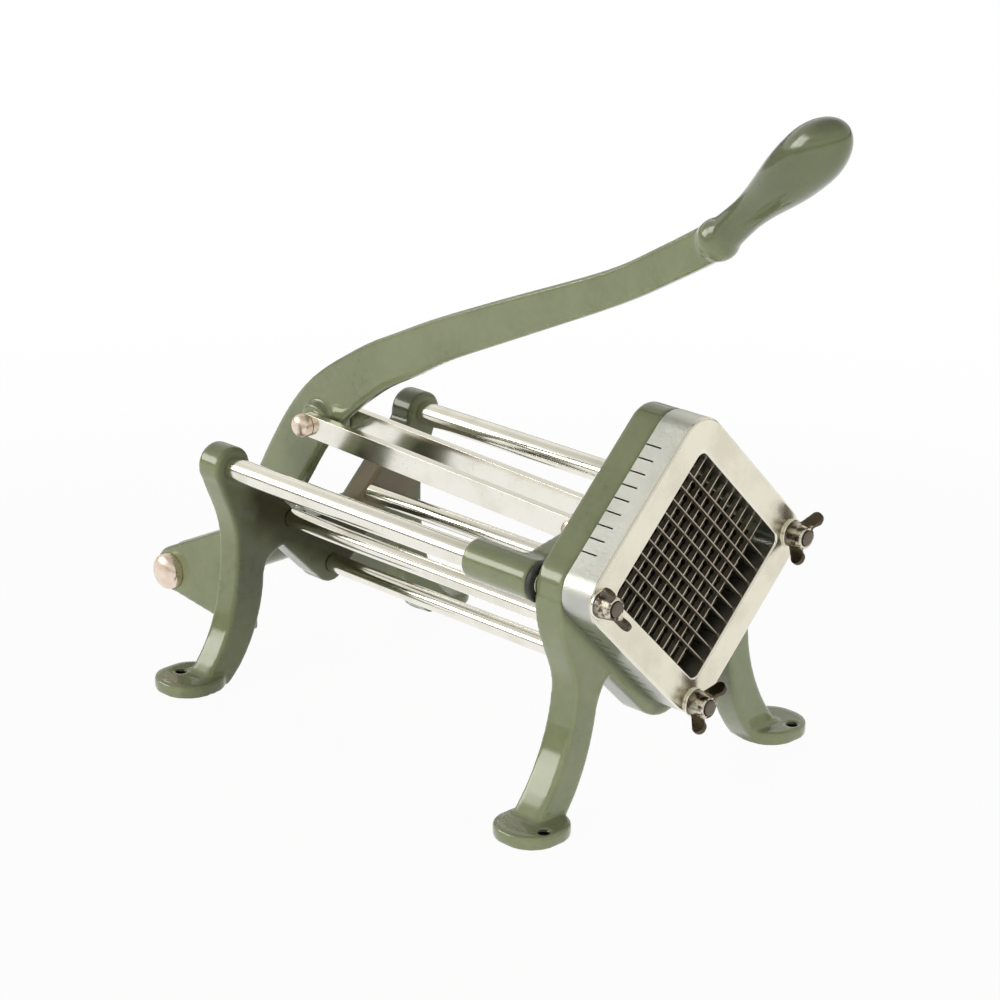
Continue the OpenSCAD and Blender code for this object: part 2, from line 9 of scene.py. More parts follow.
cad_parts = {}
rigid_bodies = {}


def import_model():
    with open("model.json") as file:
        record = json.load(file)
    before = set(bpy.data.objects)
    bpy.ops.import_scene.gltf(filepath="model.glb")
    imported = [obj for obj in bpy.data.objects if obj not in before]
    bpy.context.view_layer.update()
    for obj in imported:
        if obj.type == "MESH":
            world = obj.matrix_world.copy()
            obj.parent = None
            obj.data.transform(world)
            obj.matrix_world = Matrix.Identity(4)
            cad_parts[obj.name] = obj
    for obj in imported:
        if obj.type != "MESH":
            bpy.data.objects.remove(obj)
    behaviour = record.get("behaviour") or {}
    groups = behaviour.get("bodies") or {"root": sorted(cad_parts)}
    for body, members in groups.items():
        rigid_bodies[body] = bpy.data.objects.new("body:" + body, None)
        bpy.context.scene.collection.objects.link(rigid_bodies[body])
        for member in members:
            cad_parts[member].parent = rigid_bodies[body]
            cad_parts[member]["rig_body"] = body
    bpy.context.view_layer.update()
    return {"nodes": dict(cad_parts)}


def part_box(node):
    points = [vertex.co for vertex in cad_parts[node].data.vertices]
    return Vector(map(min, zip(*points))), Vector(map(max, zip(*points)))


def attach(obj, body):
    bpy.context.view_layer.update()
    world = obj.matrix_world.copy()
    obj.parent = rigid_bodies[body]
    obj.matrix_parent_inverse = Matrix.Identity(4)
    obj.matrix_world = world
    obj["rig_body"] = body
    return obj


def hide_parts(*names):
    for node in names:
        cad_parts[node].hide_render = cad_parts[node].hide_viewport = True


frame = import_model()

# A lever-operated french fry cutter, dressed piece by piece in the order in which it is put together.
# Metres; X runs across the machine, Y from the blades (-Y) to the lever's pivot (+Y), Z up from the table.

scene = bpy.context.scene
mm = 0.001


# ---------------------------------------------------------------- studio
# A white sheet in a white room, large soft lamps on the left and behind, a small one in front and a faint
# one overhead. The room holds a bright panel at the rear left, which shows as a sheen on what is glossy.
# The camera stands well back, to the front left, a little above the machine.

def place_camera(spot, azimuth, elevation, roll, lens):
    """Looks back along the direction given by azimuth and elevation, with the frame turned by roll."""
    a, e, r = (math.radians(angle) for angle in (azimuth, elevation, roll))
    back = Vector((math.sin(a) * math.cos(e), -math.cos(a) * math.cos(e), math.sin(e)))
    right = Vector((math.cos(a), math.sin(a), 0))
    up = back.cross(right)
    across = math.cos(r) * right + math.sin(r) * up
    upward = math.cos(r) * up - math.sin(r) * right
    camera = bpy.data.objects.new("camera", bpy.data.cameras.new("camera"))
    camera.data.lens, camera.data.sensor_width = lens, 36
    camera.matrix_world = Matrix.Translation(spot) @ Matrix((across, upward, back)).transposed().to_4x4()
    scene.collection.objects.link(camera)
    scene.camera = camera


place_camera(spot=Vector((-1.3160, -1.3123, 0.8123)), azimuth=-45.40, elevation=19.72, roll=0.81, lens=110.84)
scene.view_settings.view_transform = "Standard"


class Wire:
    """A value on its way between shader nodes. Arithmetic on it adds Math nodes."""

    def __init__(self, board, socket):
        self.board, self.socket = board, socket

    def math(self, operation, *terms):
        """The wire from a Math node on the given terms, wires or numbers."""
        return self.board.add("ShaderNodeMath", {"operation": operation}, dict(enumerate(terms)))

    def __add__(self, other): return self.math("ADD", self, other)
    def __radd__(self, other): return self.math("ADD", other, self)
    def __sub__(self, other): return self.math("SUBTRACT", self, other)
    def __rsub__(self, other): return self.math("SUBTRACT", other, self)
    def __mul__(self, other): return self.math("MULTIPLY", self, other)
    def __rmul__(self, other): return self.math("MULTIPLY", other, self)
    def __pow__(self, other): return self.math("POWER", self, other)
    def __abs__(self): return self.math("ABSOLUTE", self)

    def least(self, other): return self.math("MINIMUM", self, other)
    def most(self, other): return self.math("MAXIMUM", self, other)

    def rise(self, low, high, start=0.0, end=1.0):
        """Eases from start to end while the value goes from low to high, and holds outside them."""
        return self.board.add("ShaderNodeMapRange", {"interpolation_type": "SMOOTHSTEP"},
                              {0: self, 1: low, 2: high, 3: start, 4: end})


class Board:
    """A node tree that is being wired: add() makes any node and gives the wire from one of its outputs."""

    def __init__(self, tree):
        self.tree = tree
        tree.nodes.clear()

    def add(self, kind, settings=None, sockets=None, out=0):
        node = self.tree.nodes.new(kind)
        for name, value in (settings or {}).items():
            setattr(node, name, value)
        for name, value in (sockets or {}).items():
            if isinstance(value, Wire):
                self.tree.links.new(value.socket, node.inputs[name])
            else:
                node.inputs[name].default_value = value
        return Wire(self, node.outputs[out]) if len(node.outputs) else None

    def blend(self, share, first, second):
        """Goes from the first colour to the second as share goes from 0 to 1."""
        first, second = (c if isinstance(c, Wire) else (*c, 1) for c in (first, second))
        return self.add("ShaderNodeMix", {"data_type": "RGBA"}, {0: share, 6: first, 7: second}, out=2)

    def place(self, stretch=(1, 1, 1)):
        """The point's place on the machine in metres, stretched along the axes."""
        point = self.add("ShaderNodeTexCoord", out="Object")
        return self.add("ShaderNodeMapping", None, {"Vector": point, "Scale": stretch})

    def parts(self, vector):
        """The x, y and z of a vector."""
        split = self.add("ShaderNodeSeparateXYZ", None, {0: vector})
        outs = split.socket.node.outputs
        return tuple(Wire(self, outs[i]) for i in range(3))

    def noise(self, where, scale, detail=2.0, rough=0.5):
        """Cloudy noise from 0 to 1, with about scale clouds to the metre."""
        return self.add("ShaderNodeTexNoise", None,
                        {"Vector": where, "Scale": scale, "Detail": detail, "Roughness": rough})


def lamp(name, spot, size, watts):
    """A soft box that faces the machine. It only lights: what glossy pieces mirror is the room."""
    data = bpy.data.lights.new(name, "AREA")
    data.shape, data.size, data.size_y = "RECTANGLE", *size
    data.energy, data.color = watts, (1, 0.99, 0.96)
    ob = bpy.data.objects.new(name, data)
    ob.location = spot
    middle = Vector((0, 0, 0.15))
    ob.rotation_euler = (middle - Vector(spot)).to_track_quat("-Z", "Y").to_euler()
    ob.visible_glossy = False
    scene.collection.objects.link(ob)


lamp("left_lamp", (-2.35, 0.1, 0.5), (1.5, 0.9), 44)
lamp("front_lamp", (0.1, -2.4, 0.34), (0.5, 0.45), 28)
lamp("rear_lamp", (1.7, 1.7, 0.7), (1.6, 1.2), 42)
lamp("top_lamp", (0.2, 0.4, 2.4), (1.6, 1.6), 3)


def seen_directly(board):
    """Two switches: one is 1 for the camera's own rays, the other for those and for the rays that mirrors and
    glass send on."""
    rays = board.add("ShaderNodeLightPath").socket.node.outputs
    camera, glossy, through = (Wire(board, rays[name])
                               for name in ("Is Camera Ray", "Is Glossy Ray", "Is Transmission Ray"))
    return camera, camera.most(glossy).most(through)


def light_the_room():
    """White to the camera. Glossy pieces see a warm white room with a darker ceiling, a dark line low down, a
    fainter one above it, and the soft-edged panel at the rear left. Matt ones get a faint even light from
    it."""
    room = bpy.data.worlds.new("room")
    room.use_nodes = True
    scene.world = room
    board = Board(room.node_tree)
    camera, seen = seen_directly(board)
    direction = board.add("ShaderNodeTexCoord", out="Generated")
    x, y, height = board.parts(direction)
    ceiling = height.rise(0.45, 0.9, 1.0, 0.55)
    seam = abs(height - 0.07).rise(0.065, 0.10, 0.2, 1.0)
    band = abs(height - 0.40).rise(0.015, 0.05, 0.6, 1.0)
    panel_x, panel_y = -0.64, 0.77  # the direction in which the panel stands
    beside, ahead = abs(x * panel_y - y * panel_x), y * panel_y + x * panel_x
    panel = beside.rise(0.20, 0.32, 1.0, 0.0) * height.rise(0.16, 0.24) * height.rise(0.46, 0.57, 1.0, 0.0)
    in_metal = ceiling * seam * band + panel * ahead.rise(0, 0.1) * 6
    level = camera + (1 - camera) * (seen * in_metal + (1 - seen) * 0.14)
    tone = board.blend(camera, (1, 0.985, 0.93), (1, 1, 1))
    white = board.add("ShaderNodeBackground", None, {"Color": tone, "Strength": level})
    board.add("ShaderNodeOutputWorld", None, {"Surface": white})


def lay_the_floor():
    """A white sheet: paper white to the camera, and the machine's soft shadow stays on it."""
    half = 3.0
    mesh = bpy.data.meshes.new("floor")
    corners = [(-half, -half, 0), (half, -half, 0), (half, half, 0), (-half, half, 0)]
    mesh.from_pydata(corners, [], [(0, 1, 2, 3)])
    floor = bpy.data.objects.new("floor", mesh)
    scene.collection.objects.link(floor)
    paper = bpy.data.materials.new("white_paper")
    paper.use_nodes = True
    board = Board(paper.node_tree)
    camera, seen = seen_directly(board)
    x, y, _ = board.parts(board.place())
    near = ((x * x + y * y) ** 0.5).rise(0.35, 1.1, 1.0, 0.0)
    sheet = board.add("ShaderNodeBsdfDiffuse", None, {"Color": (0.88, 0.88, 0.87, 1)})
    glow = board.add("ShaderNodeEmission", None, {"Color": (1, 1, 1, 1), "Strength": 1.0})
    share = seen * (1 - near * 0.05)
    shader = board.add("ShaderNodeMixShader", None, {0: share, 1: sheet, 2: glow})
    board.add("ShaderNodeOutputMaterial", None, {"Surface": shader})
    mesh.materials.append(paper)


light_the_room()
lay_the_floor()


# ---------------------------------------------------------------- front casting
# The ring that the blade frame is clamped to, with its two splayed legs: one sand casting of aluminium,
# fettled and then coated in gloss sage-green enamel, which pools in the corners and thins over the edges;
# the corners are painted darker as shade and the edges paler as a highlight.

def joined_copy(node):
    """A node's own faces with their points joined, as a new mesh that may be worked on."""
    mesh = frame["nodes"][node].data.copy()
    work = bmesh.new()
    work.from_mesh(mesh)
    bmesh.ops.remove_doubles(work, verts=work.verts, dist=2e-6)
    work.to_mesh(mesh)
    work.free()
    return mesh


def array_of(mesh, collection="vertices", key="co", kind=np.float64, width=3):
    """One of a mesh's arrays, a row for each of its elements."""
    items = getattr(mesh, collection)
    values = np.empty(len(items) * width, kind)
    items.foreach_get(key, values)
    return values.reshape(-1, width) if width > 1 else values


def relax(points, edges, rounds):
    """Moves each point half way to the mean of the points that it is joined to, time after time."""
    a, b = edges.T
    size = len(points)
    count = np.bincount(np.concatenate((a, b)), minlength=size)[:, None]
    for _ in range(rounds):
        total = np.stack([np.bincount(a, points[b, k], size) + np.bincount(b, points[a, k], size)
                          for k in range(points.shape[1])], 1)
        points = points + 0.5 * (total / count - points)
    return points


def cast(node, grain, rounds):
    """A cast piece. Its surface is laid out again as an even grid of faces, grain wide, and relaxed, which
    rolls over its edges and fills its corners. 'edge' keeps how far each point came in (+) or out (-)."""
    ob = bpy.data.objects.new(node + "_cast", joined_copy(node))
    scene.collection.objects.link(ob)
    remesh = ob.modifiers.new("grid", "REMESH")
    remesh.mode, remesh.voxel_size, remesh.adaptivity = "VOXEL", grain, 0
    mesh = bpy.data.meshes.new_from_object(ob.evaluated_get(bpy.context.evaluated_depsgraph_get()))
    ob.modifiers.clear()
    ob.data = mesh
    before = array_of(mesh)
    edges = array_of(mesh, "edges", "vertices", np.int32, 2)
    low, high = (np.array(corner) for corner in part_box(node))
    after = np.clip(relax(before, edges, rounds), low, high)
    mesh.vertices.foreach_set("co", after.ravel())
    mesh.update()
    outward = array_of(mesh, "vertices", "normal")
    inward = -np.einsum("ij,ij->i", after - before, outward)[:, None]
    deepest = grain * math.sqrt(rounds) * 0.35  # about how far a sharp edge comes in
    worn = relax(inward, edges, 3)[:, 0] / deepest
    mesh.attributes.new("edge", "FLOAT", "POINT").data.foreach_set("value", np.clip(worn, -1, 1))
    mesh.shade_smooth()
    return ob


def stand_for(ob, node, finish):
    """The piece takes the node's place: it joins the node's body, gets the finish, and the node is hidden."""
    ob.data.materials.clear()
    ob.data.materials.append(finish)
    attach(ob, frame["nodes"][node]["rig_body"])
    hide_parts(node)


def surface(name, make):
    """A material whose Principled shader gets the sockets that make(board) works out."""
    finish = bpy.data.materials.new(name)
    finish.use_nodes = True
    board = Board(finish.node_tree)
    shader = board.add("ShaderNodeBsdfPrincipled", None, make(board))
    board.add("ShaderNodeOutputMaterial", None, {"Surface": shader})
    return finish


foot_hole_x, foot_hole_y, foot_hole_r = 115 * mm, 168.5 * mm, 3.5 * mm


def sage_enamel(board):
    """Gloss enamel: a grey-green that pools in corners, which are painted darker as shade, and thins on
    edges, which are painted paler as a highlight; with faint clouds, a few grey rubs along the edges, fine
    orange peel and the slow waves of the casting below. Painted shade darkens the grip and its knuckle, above
    a slanting line, and the foot holes' bores."""
    where = board.place()
    x, y, z = board.parts(where)
    # painted shade: the grip and its knuckle, above a slanting line, are darkened
    grip_shade = (z - y * 0.9).rise(0.515, 0.545)
    off_hole = ((abs(x) - foot_hole_x) ** 2 + (abs(y) - foot_hole_y) ** 2) ** 0.5
    # painted shade: the foot holes' bores are darkened
    hole_shade = off_hole.rise(foot_hole_r + 0.1 * mm, foot_hole_r + 0.9 * mm, 1.0, 0.0)
    edge = board.add("ShaderNodeAttribute", {"attribute_name": "edge"}, out="Fac")
    cloud = board.noise(where, 22, 3)
    mottle = board.noise(where, 160, 3, 0.6)
    # painted shade: concave corners darkened, where the enamel also lies thicker
    pooled_and_shaded = (edge * -1).rise(0.05, 0.8)
    # painted highlight: convex edges made paler, where the enamel also runs thinner
    thin_and_highlit = edge.rise(0.1, 0.9)
    rubbed = (edge + (mottle - 0.5) * 1.3).rise(0.72, 0.95) * 0.5
    colour = board.blend(cloud.rise(0.3, 0.7), (0.160, 0.184, 0.090), (0.196, 0.222, 0.116))
    colour = board.blend(mottle.rise(0.35, 0.75, 0, 0.35), colour, (0.230, 0.252, 0.135))
    colour = board.blend(pooled_and_shaded * 0.7, colour, (0.072, 0.088, 0.034))
    colour = board.blend(thin_and_highlit * 0.2, colour, (0.31, 0.335, 0.205))
    colour = board.blend(rubbed, colour, (0.40, 0.41, 0.33))
    colour = board.blend(grip_shade * 0.62, colour, (0.060, 0.075, 0.030))
    colour = board.blend(hole_shade, colour, (0.012, 0.013, 0.008))
    rough = 0.30 + (mottle - 0.5) * 0.12 + rubbed * 0.2 + (cloud - 0.5) * 0.1
    peel = board.noise(where, 520, 2)
    wave = board.noise(where, 45, 2)
    relief = peel * 0.12 + wave * 0.9 + mottle * 0.25
    normal = board.add("ShaderNodeBump", None, {"Height": relief, "Strength": 0.28, "Distance": 0.0011})
    return {"Base Color": colour, "Roughness": rough, "Normal": normal, "Specular IOR Level": 0.22,
            "Coat Weight": 0.9, "Coat Roughness": 0.07}


enamel = surface("sage_enamel", sage_enamel)
stand_for(cast("front_casting", grain=1.05 * mm, rounds=12), "front_casting", enamel)


# ---------------------------------------------------------------- rear casting
# The web that the rods are screwed into, its V for the links, its two legs and the two lugs of the
# lever's pivot: a second sand casting in the same enamel, with painted shade on its front.

web_front, web_back = 144.5 * mm, 164.5 * mm  # along Y


def enamel_with_painted_shade(board):
    """The same enamel. Painted shade darkens its front, most in a slanting band below the V's left slope, and
    the V's right shoulder, beside the links, is tinted brown."""
    sockets = sage_enamel(board)
    where = board.place()
    x, y, z = board.parts(where)
    blotch = (board.noise(where, 55, 3) - 0.5) * 0.02
    # the band's middle line passes x = -63 mm, z = 120 mm, and falls to the right at 31 degrees
    off_band = abs((x + 0.063) * 0.52 + (z - 0.120) * 0.854) + blotch * 0.6
    along_band = (x + blotch).rise(-0.082, -0.062) * x.rise(0.030, 0.060, 1.0, 0.0)
    # painted shade: a slanting band of it below the V's left slope
    band = along_band * off_band.rise(0.005, 0.030, 0.63, 0.0)
    # painted shade over the web's whole front face, strongest in the band; the coat is taken off with it
    front_shade = y.rise(web_front + 0.7 * mm, web_front + 4.5 * mm, 1.0, 0.0) * (0.25 + band)
    sockets["Base Color"] = board.blend(front_shade, sockets["Base Color"], (0.032, 0.027, 0.006))
    sockets["Coat Weight"] = 0.9 - front_shade * 0.9
    sockets["Specular IOR Level"] = 0.1
    across = (x + blotch).rise(0.012, 0.030) * (x + blotch).rise(0.070, 0.085, 1.0, 0.0)
    upward = (z + blotch).rise(0.088, 0.100) * (z + blotch).rise(0.128, 0.146, 1.0, 0.0)
    brown = across * upward * y.rise(web_back - 6 * mm, web_back - 1 * mm, 0.75, 0.0)
    sockets["Base Color"] = board.blend(brown, sockets["Base Color"], (0.245, 0.175, 0.115))
    return sockets


rear_enamel = surface("enamel_with_painted_shade", enamel_with_painted_shade)
stand_for(cast("rear_casting", grain=1.1 * mm, rounds=12), "rear_casting", rear_enamel)


# ---------------------------------------------------------------- guide rods and support rods
# Five ground and chromed steel rods join the castings. The three guide rods end at the front in long
# threaded studs for the wing nuts; the two support rods end in spigots that sit in blind sockets.

def surface_mesh(name, grid, wrap_along=False):
    """A mesh over a grid of points, closed round its second direction, and round its first if told so.
    Ends where the ring shrinks to a point are joined there, and the faces are turned outwards."""
    rows, steps = grid.shape[:2]
    r = np.arange(rows if wrap_along else rows - 1)[:, None]
    s = np.arange(steps)[None, :]
    next_r, next_s = (r + 1) % rows, (s + 1) % steps
    quads = np.stack((r * steps + s, r * steps + next_s, next_r * steps + next_s, next_r * steps + s), -1)
    mesh = bpy.data.meshes.new(name)
    mesh.from_pydata(grid.reshape(-1, 3).tolist(), [], quads.reshape(-1, 4).tolist())
    work = bmesh.new()
    work.from_mesh(mesh)
    bmesh.ops.remove_doubles(work, verts=work.verts, dist=1e-7)
    bmesh.ops.recalc_face_normals(work, faces=work.faces)
    work.to_mesh(mesh)
    work.free()
    return mesh


def piece(name, *meshes):
    """One object of one or more meshes, its faces smooth but for edges sharper than 40 degrees."""
    work = bmesh.new()
    for mesh in meshes:
        work.from_mesh(mesh)
    whole = bpy.data.meshes.new(name)
    work.to_mesh(whole)
    work.free()
    whole.shade_smooth()
    whole.set_sharp_from_angle(angle=math.radians(40))
    ob = bpy.data.objects.new(name, whole)
    scene.collection.objects.link(ob)
    return ob


def eased(corners, reach, steps=4):
    """A profile with each inner corner replaced by a curve: the parabola that leaves one side, reach before
    the corner, and joins the next side as far after it."""
    corners = np.array(corners, float)
    out = [corners[:1]]
    t = np.linspace(0, 1, steps + 1)[:, None]
    for before, corner, after in zip(corners, corners[1:], corners[2:]):
        back, on = before - corner, after - corner
        a, b = (corner + v * min(reach, 0.48 * np.linalg.norm(v)) / np.linalg.norm(v) for v in (back, on))
        out.append((1 - t) ** 2 * a + 2 * t * (1 - t) * corner + t ** 2 * b)
    return np.concatenate(out + [corners[-1:]])


round_steps = 56  # faces round a turned piece


def turned(name, profile, axis, centre, steps=round_steps, wrap=False, ripple=0.0):
    """A turned piece: each profile point (place along the axis, radius) is carried round the axis.
    ripple is added to the radii, a number or an array over (profile point, angle)."""
    turn = np.arange(steps) * 2 * np.pi / steps
    along, radius = profile[:, :1], profile[:, 1:] + ripple
    a, b = radius * np.cos(turn), radius * np.sin(turn)
    along = np.broadcast_to(along, a.shape)
    if axis == "y":
        grid = np.stack((centre[0] + a, along, centre[1] + b), -1)
    else:
        grid = np.stack((along, centre[0] + a, centre[1] + b), -1)
    return surface_mesh(name, grid, wrap)


thread_pitch = 1.4 * mm
thread_depth = 0.55 * mm


def threaded(profile, start, end, steps):
    """How a screw thread lowers a turned surface: a triangle wave that moves one pitch along for each turn,
    fading in over one pitch at both ends."""
    y = profile[:, :1]
    turn = np.arange(steps) / steps
    saw = np.abs(((y - start) / thread_pitch - turn) % 1.0 * 2 - 1)
    fade = np.clip((y - start) / thread_pitch, 0, 1) * np.clip((end - y) / thread_pitch, 0, 1)
    return -thread_depth * saw * fade


def centre_of(node, axes):
    """The middle of a node's box along the given axes, such as "xz"."""
    low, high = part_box(node)
    return tuple((getattr(low, axis) + getattr(high, axis)) / 2 for axis in axes)


guide_rods = ("left_guide_rod", "right_guide_rod", "bottom_guide_rod")
rod_places = [centre_of(rod, "xz") for rod in guide_rods]
(rod_x, axis_z), (_, bottom_z) = rod_places[1:]
holder_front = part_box("blade_holder")[0].y
ring_back = -137.5 * mm  # the back of the front casting's ring


def guide_rod(node):
    """Stud, thread, shoulder, ground shaft and rear stud, as one turned profile."""
    low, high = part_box(node)
    shaft, stud = (high.x - low.x) / 2, 4.75 * mm
    cut_from, cut_to = low.y + 0.9 * mm, holder_front + 3 * mm
    thread = np.linspace(low.y + 1.0 * mm, holder_front + 2 * mm, 110)
    front = [(low.y, 0), (low.y, stud - 1.4 * mm), (cut_from, stud)]
    rear = [(cut_to, stud), (ring_back, stud), (ring_back, shaft), (web_front, shaft),
            (web_front, stud), (high.y, stud), (high.y, 0)]
    profile = np.concatenate((eased(front, 0.3 * mm), np.stack((thread, np.full_like(thread, stud)), 1),
                              eased(rear, 0.4 * mm)))
    cut = np.where(profile[:, 1:] > stud * 0.97, threaded(profile, cut_from, cut_to, round_steps), 0)
    mesh = turned(node + "_turned", profile, "y", centre_of(node, "xz"), ripple=cut)
    return piece(node + "_turned", mesh)


def support_rod(node):
    """Spigot, ground shaft and spigot, as one turned profile."""
    low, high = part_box(node)
    shaft, spigot = (high.x - low.x) / 2, 4 * mm
    corners = [(low.y, 0), (low.y, spigot), (ring_back, spigot), (ring_back, shaft), (web_front, shaft),
               (web_front, spigot), (high.y, spigot), (high.y, 0)]
    mesh = turned(node + "_turned", eased(corners, 0.5 * mm), "y", centre_of(node, "xz"))
    return piece(node + "_turned", mesh)


def chrome(along):
    """Mirror chrome with hair-fine marks along the given axis, a light haze in patches and a warm grey tone.
    The studs in front of the washers have browned like the nuts on them."""
    def make(board):
        stretch = [900.0, 900.0, 900.0]
        stretch["xyz".index(along)] = 14.0
        where = board.place()
        marks = board.noise(board.place(stretch), 1.0, 2, 0.6)
        haze = board.noise(where, 35, 3)
        spots = board.noise(where, 420, 1)
        dull = haze.rise(0.45, 0.75)
        colour = board.blend(dull, (0.88, 0.86, 0.78), (0.79, 0.765, 0.67))
        colour = board.blend(spots.rise(0.66, 0.74) * 0.35, colour, (0.66, 0.63, 0.55))
        stud = board.parts(where)[1].rise(holder_front - 4 * mm, holder_front - 3 * mm, 0.95, 0.0)
        colour = board.blend(stud, colour, (0.13, 0.108, 0.08))
        rough = 0.13 + dull * 0.06 + marks.rise(0.5, 0.8) * 0.04 + stud * 0.3
        relief = marks * 0.15 + haze * 1.2
        normal = board.add("ShaderNodeBump", None, {"Height": relief, "Strength": 0.10, "Distance": 0.0004})
        return {"Base Color": colour, "Metallic": 1.0, "Roughness": rough, "Normal": normal}
    return make


rod_chrome = surface("rod_chrome", chrome("y"))
for rod in guide_rods:
    stand_for(guide_rod(rod), rod, rod_chrome)
for rod in ("left_support_rod", "right_support_rod"):
    stand_for(support_rod(rod), rod, rod_chrome)


# ---------------------------------------------------------------- bumpers
# Two thin moulded rubber rings on the side rods, behind the front casting. They soften the carriage's stop
# at the end of its stroke.

def ring(name, centre, front, back, bore, outer, rounding, steps):
    """A flat ring round a rod: a rectangle with rounded corners, closed at the middle of its bore."""
    middle = (front + back) / 2
    corners = [(middle, bore), (front, bore), (front, outer), (back, outer), (back, bore), (middle, bore)]
    return turned(name, eased(corners, rounding, steps)[:-1], "y", centre, wrap=True)


def bumper(node):
    """A ring with well-rounded corners, tight on its rod."""
    low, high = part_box(node)
    bore, outer = 8.06 * mm, (high.x - low.x) / 2
    mesh = ring(node, centre_of(node, "xz"), low.y, high.y, bore, outer, 1.2 * mm, 5)
    return piece(node + "_moulded", mesh)


def rubber_skin(board):
    """Matt black rubber with a faint grey bloom."""
    where = board.place()
    bloom = board.noise(where, 60, 3)
    grain = board.noise(where, 900, 2)
    colour = board.blend(bloom.rise(0.4, 0.75), (0.018, 0.018, 0.017), (0.045, 0.044, 0.041))
    relief = grain + bloom
    normal = board.add("ShaderNodeBump", None, {"Height": relief, "Strength": 0.25, "Distance": 0.0004})
    return {"Base Color": colour, "Roughness": 0.52 + (bloom - 0.5) * 0.2, "Normal": normal}


rubber = surface("black_rubber", rubber_skin)
for node in ("left_bumper", "right_bumper"):
    stand_for(bumper(node), node, rubber)


# ---------------------------------------------------------------- blades and their pins
# Two crossing sets of nine ground steel strips, held by pins through holes in their ends. Their solids
# already have the right shape; the steel is ground along each strip and dark from use.

def dress(node, finish):
    """Gives a node that keeps its own shape its finish."""
    for spot in frame["nodes"][node].material_slots:
        spot.material = finish


slant = 0.7071  # the sine and the cosine of 45 degrees


def ground_steel(along, tone, front, shine):
    """Strips ground lengthwise, along one diagonal of the front view: 1 is up to the right, -1 down to the
    right. tone scales the steel's brightness as painted light. The cutting edges, at y = front, carry a
    painted highlight, brighter by shine."""
    def make(board):
        x, y, z = board.parts(board.place())
        length, across = (x + z * along) * slant, (x - z * along) * slant
        ground = board.add("ShaderNodeCombineXYZ", None, {0: length * 25, 1: across * 900, 2: y * 1600})
        lines = board.noise(ground, 1.0, 2, 0.6)
        stain = board.noise(board.place(), 70, 3)
        fresh = tuple(tone * c for c in (0.40, 0.365, 0.295))
        worn = tuple(tone * c for c in (0.27, 0.24, 0.19))
        colour = board.blend(lines, worn, fresh)
        colour = board.blend(stain.rise(0.45, 0.7) * 0.55, colour, (0.18, 0.15, 0.105))
        # painted highlight along the cutting edges
        colour = board.blend(y.rise(front, front + 0.5 * mm, shine, 0.0), colour, (0.62, 0.55, 0.44))
        rough = 0.32 + lines * 0.14 + stain * 0.12
        normal = board.add("ShaderNodeBump", None, {"Height": lines, "Strength": 0.2, "Distance": 0.0003})
        return {"Base Color": colour, "Metallic": 0.85, "Roughness": rough, "Normal": normal}
    return make


# The two sets are one steel: the rear set's higher tone and stronger shine are painted light.
front_steel = ground_steel(along=-1, tone=0.9, front=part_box("front_blades")[0].y, shine=0.3)
rear_steel = ground_steel(along=1, tone=1.5, front=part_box("rear_blades")[0].y, shine=0.9)
dress("front_blades", surface("front_blade_steel", front_steel))
dress("rear_blades", surface("rear_blade_steel", rear_steel))
dress("blade_pins", rod_chrome)


# ---------------------------------------------------------------- blade holder
# A square aluminium casting on its corner, machined and polished in front, satin on its sides, with saw
# slots at the back for the blades' ends. The three studs pass through its corners.

def crisp(node, name, width, steps, picked=lambda middle: True):
    """A node's own faces with narrow rounded edges. Flat triangles are joined into faces first; then each
    edge that turns more than 50 degrees, and is picked by its middle, is rounded."""
    mesh = joined_copy(node)
    work = bmesh.new()
    work.from_mesh(mesh)
    bmesh.ops.dissolve_limit(work, angle_limit=math.radians(0.6), verts=work.verts, edges=work.edges)
    limit = math.radians(50)
    edges = [e for e in work.edges if e.is_manifold and e.calc_face_angle(0) > limit
             and picked((e.verts[0].co + e.verts[1].co) / 2)]
    bmesh.ops.bevel(work, geom=edges, offset=width, segments=steps, profile=0.5, affect="EDGES",
                    clamp_overlap=True)
    work.to_mesh(mesh)
    work.free()
    mesh.shade_smooth()
    mesh.set_sharp_from_angle(angle=math.radians(38))
    ob = bpy.data.objects.new(name, mesh)
    scene.collection.objects.link(ob)
    flat = ob.modifiers.new("flat_faces", "WEIGHTED_NORMAL")
    flat.keep_sharp = True
    return ob


half_side, half_opening = 72.5 * mm, 52.5 * mm  # of the holder's square and of the opening in it


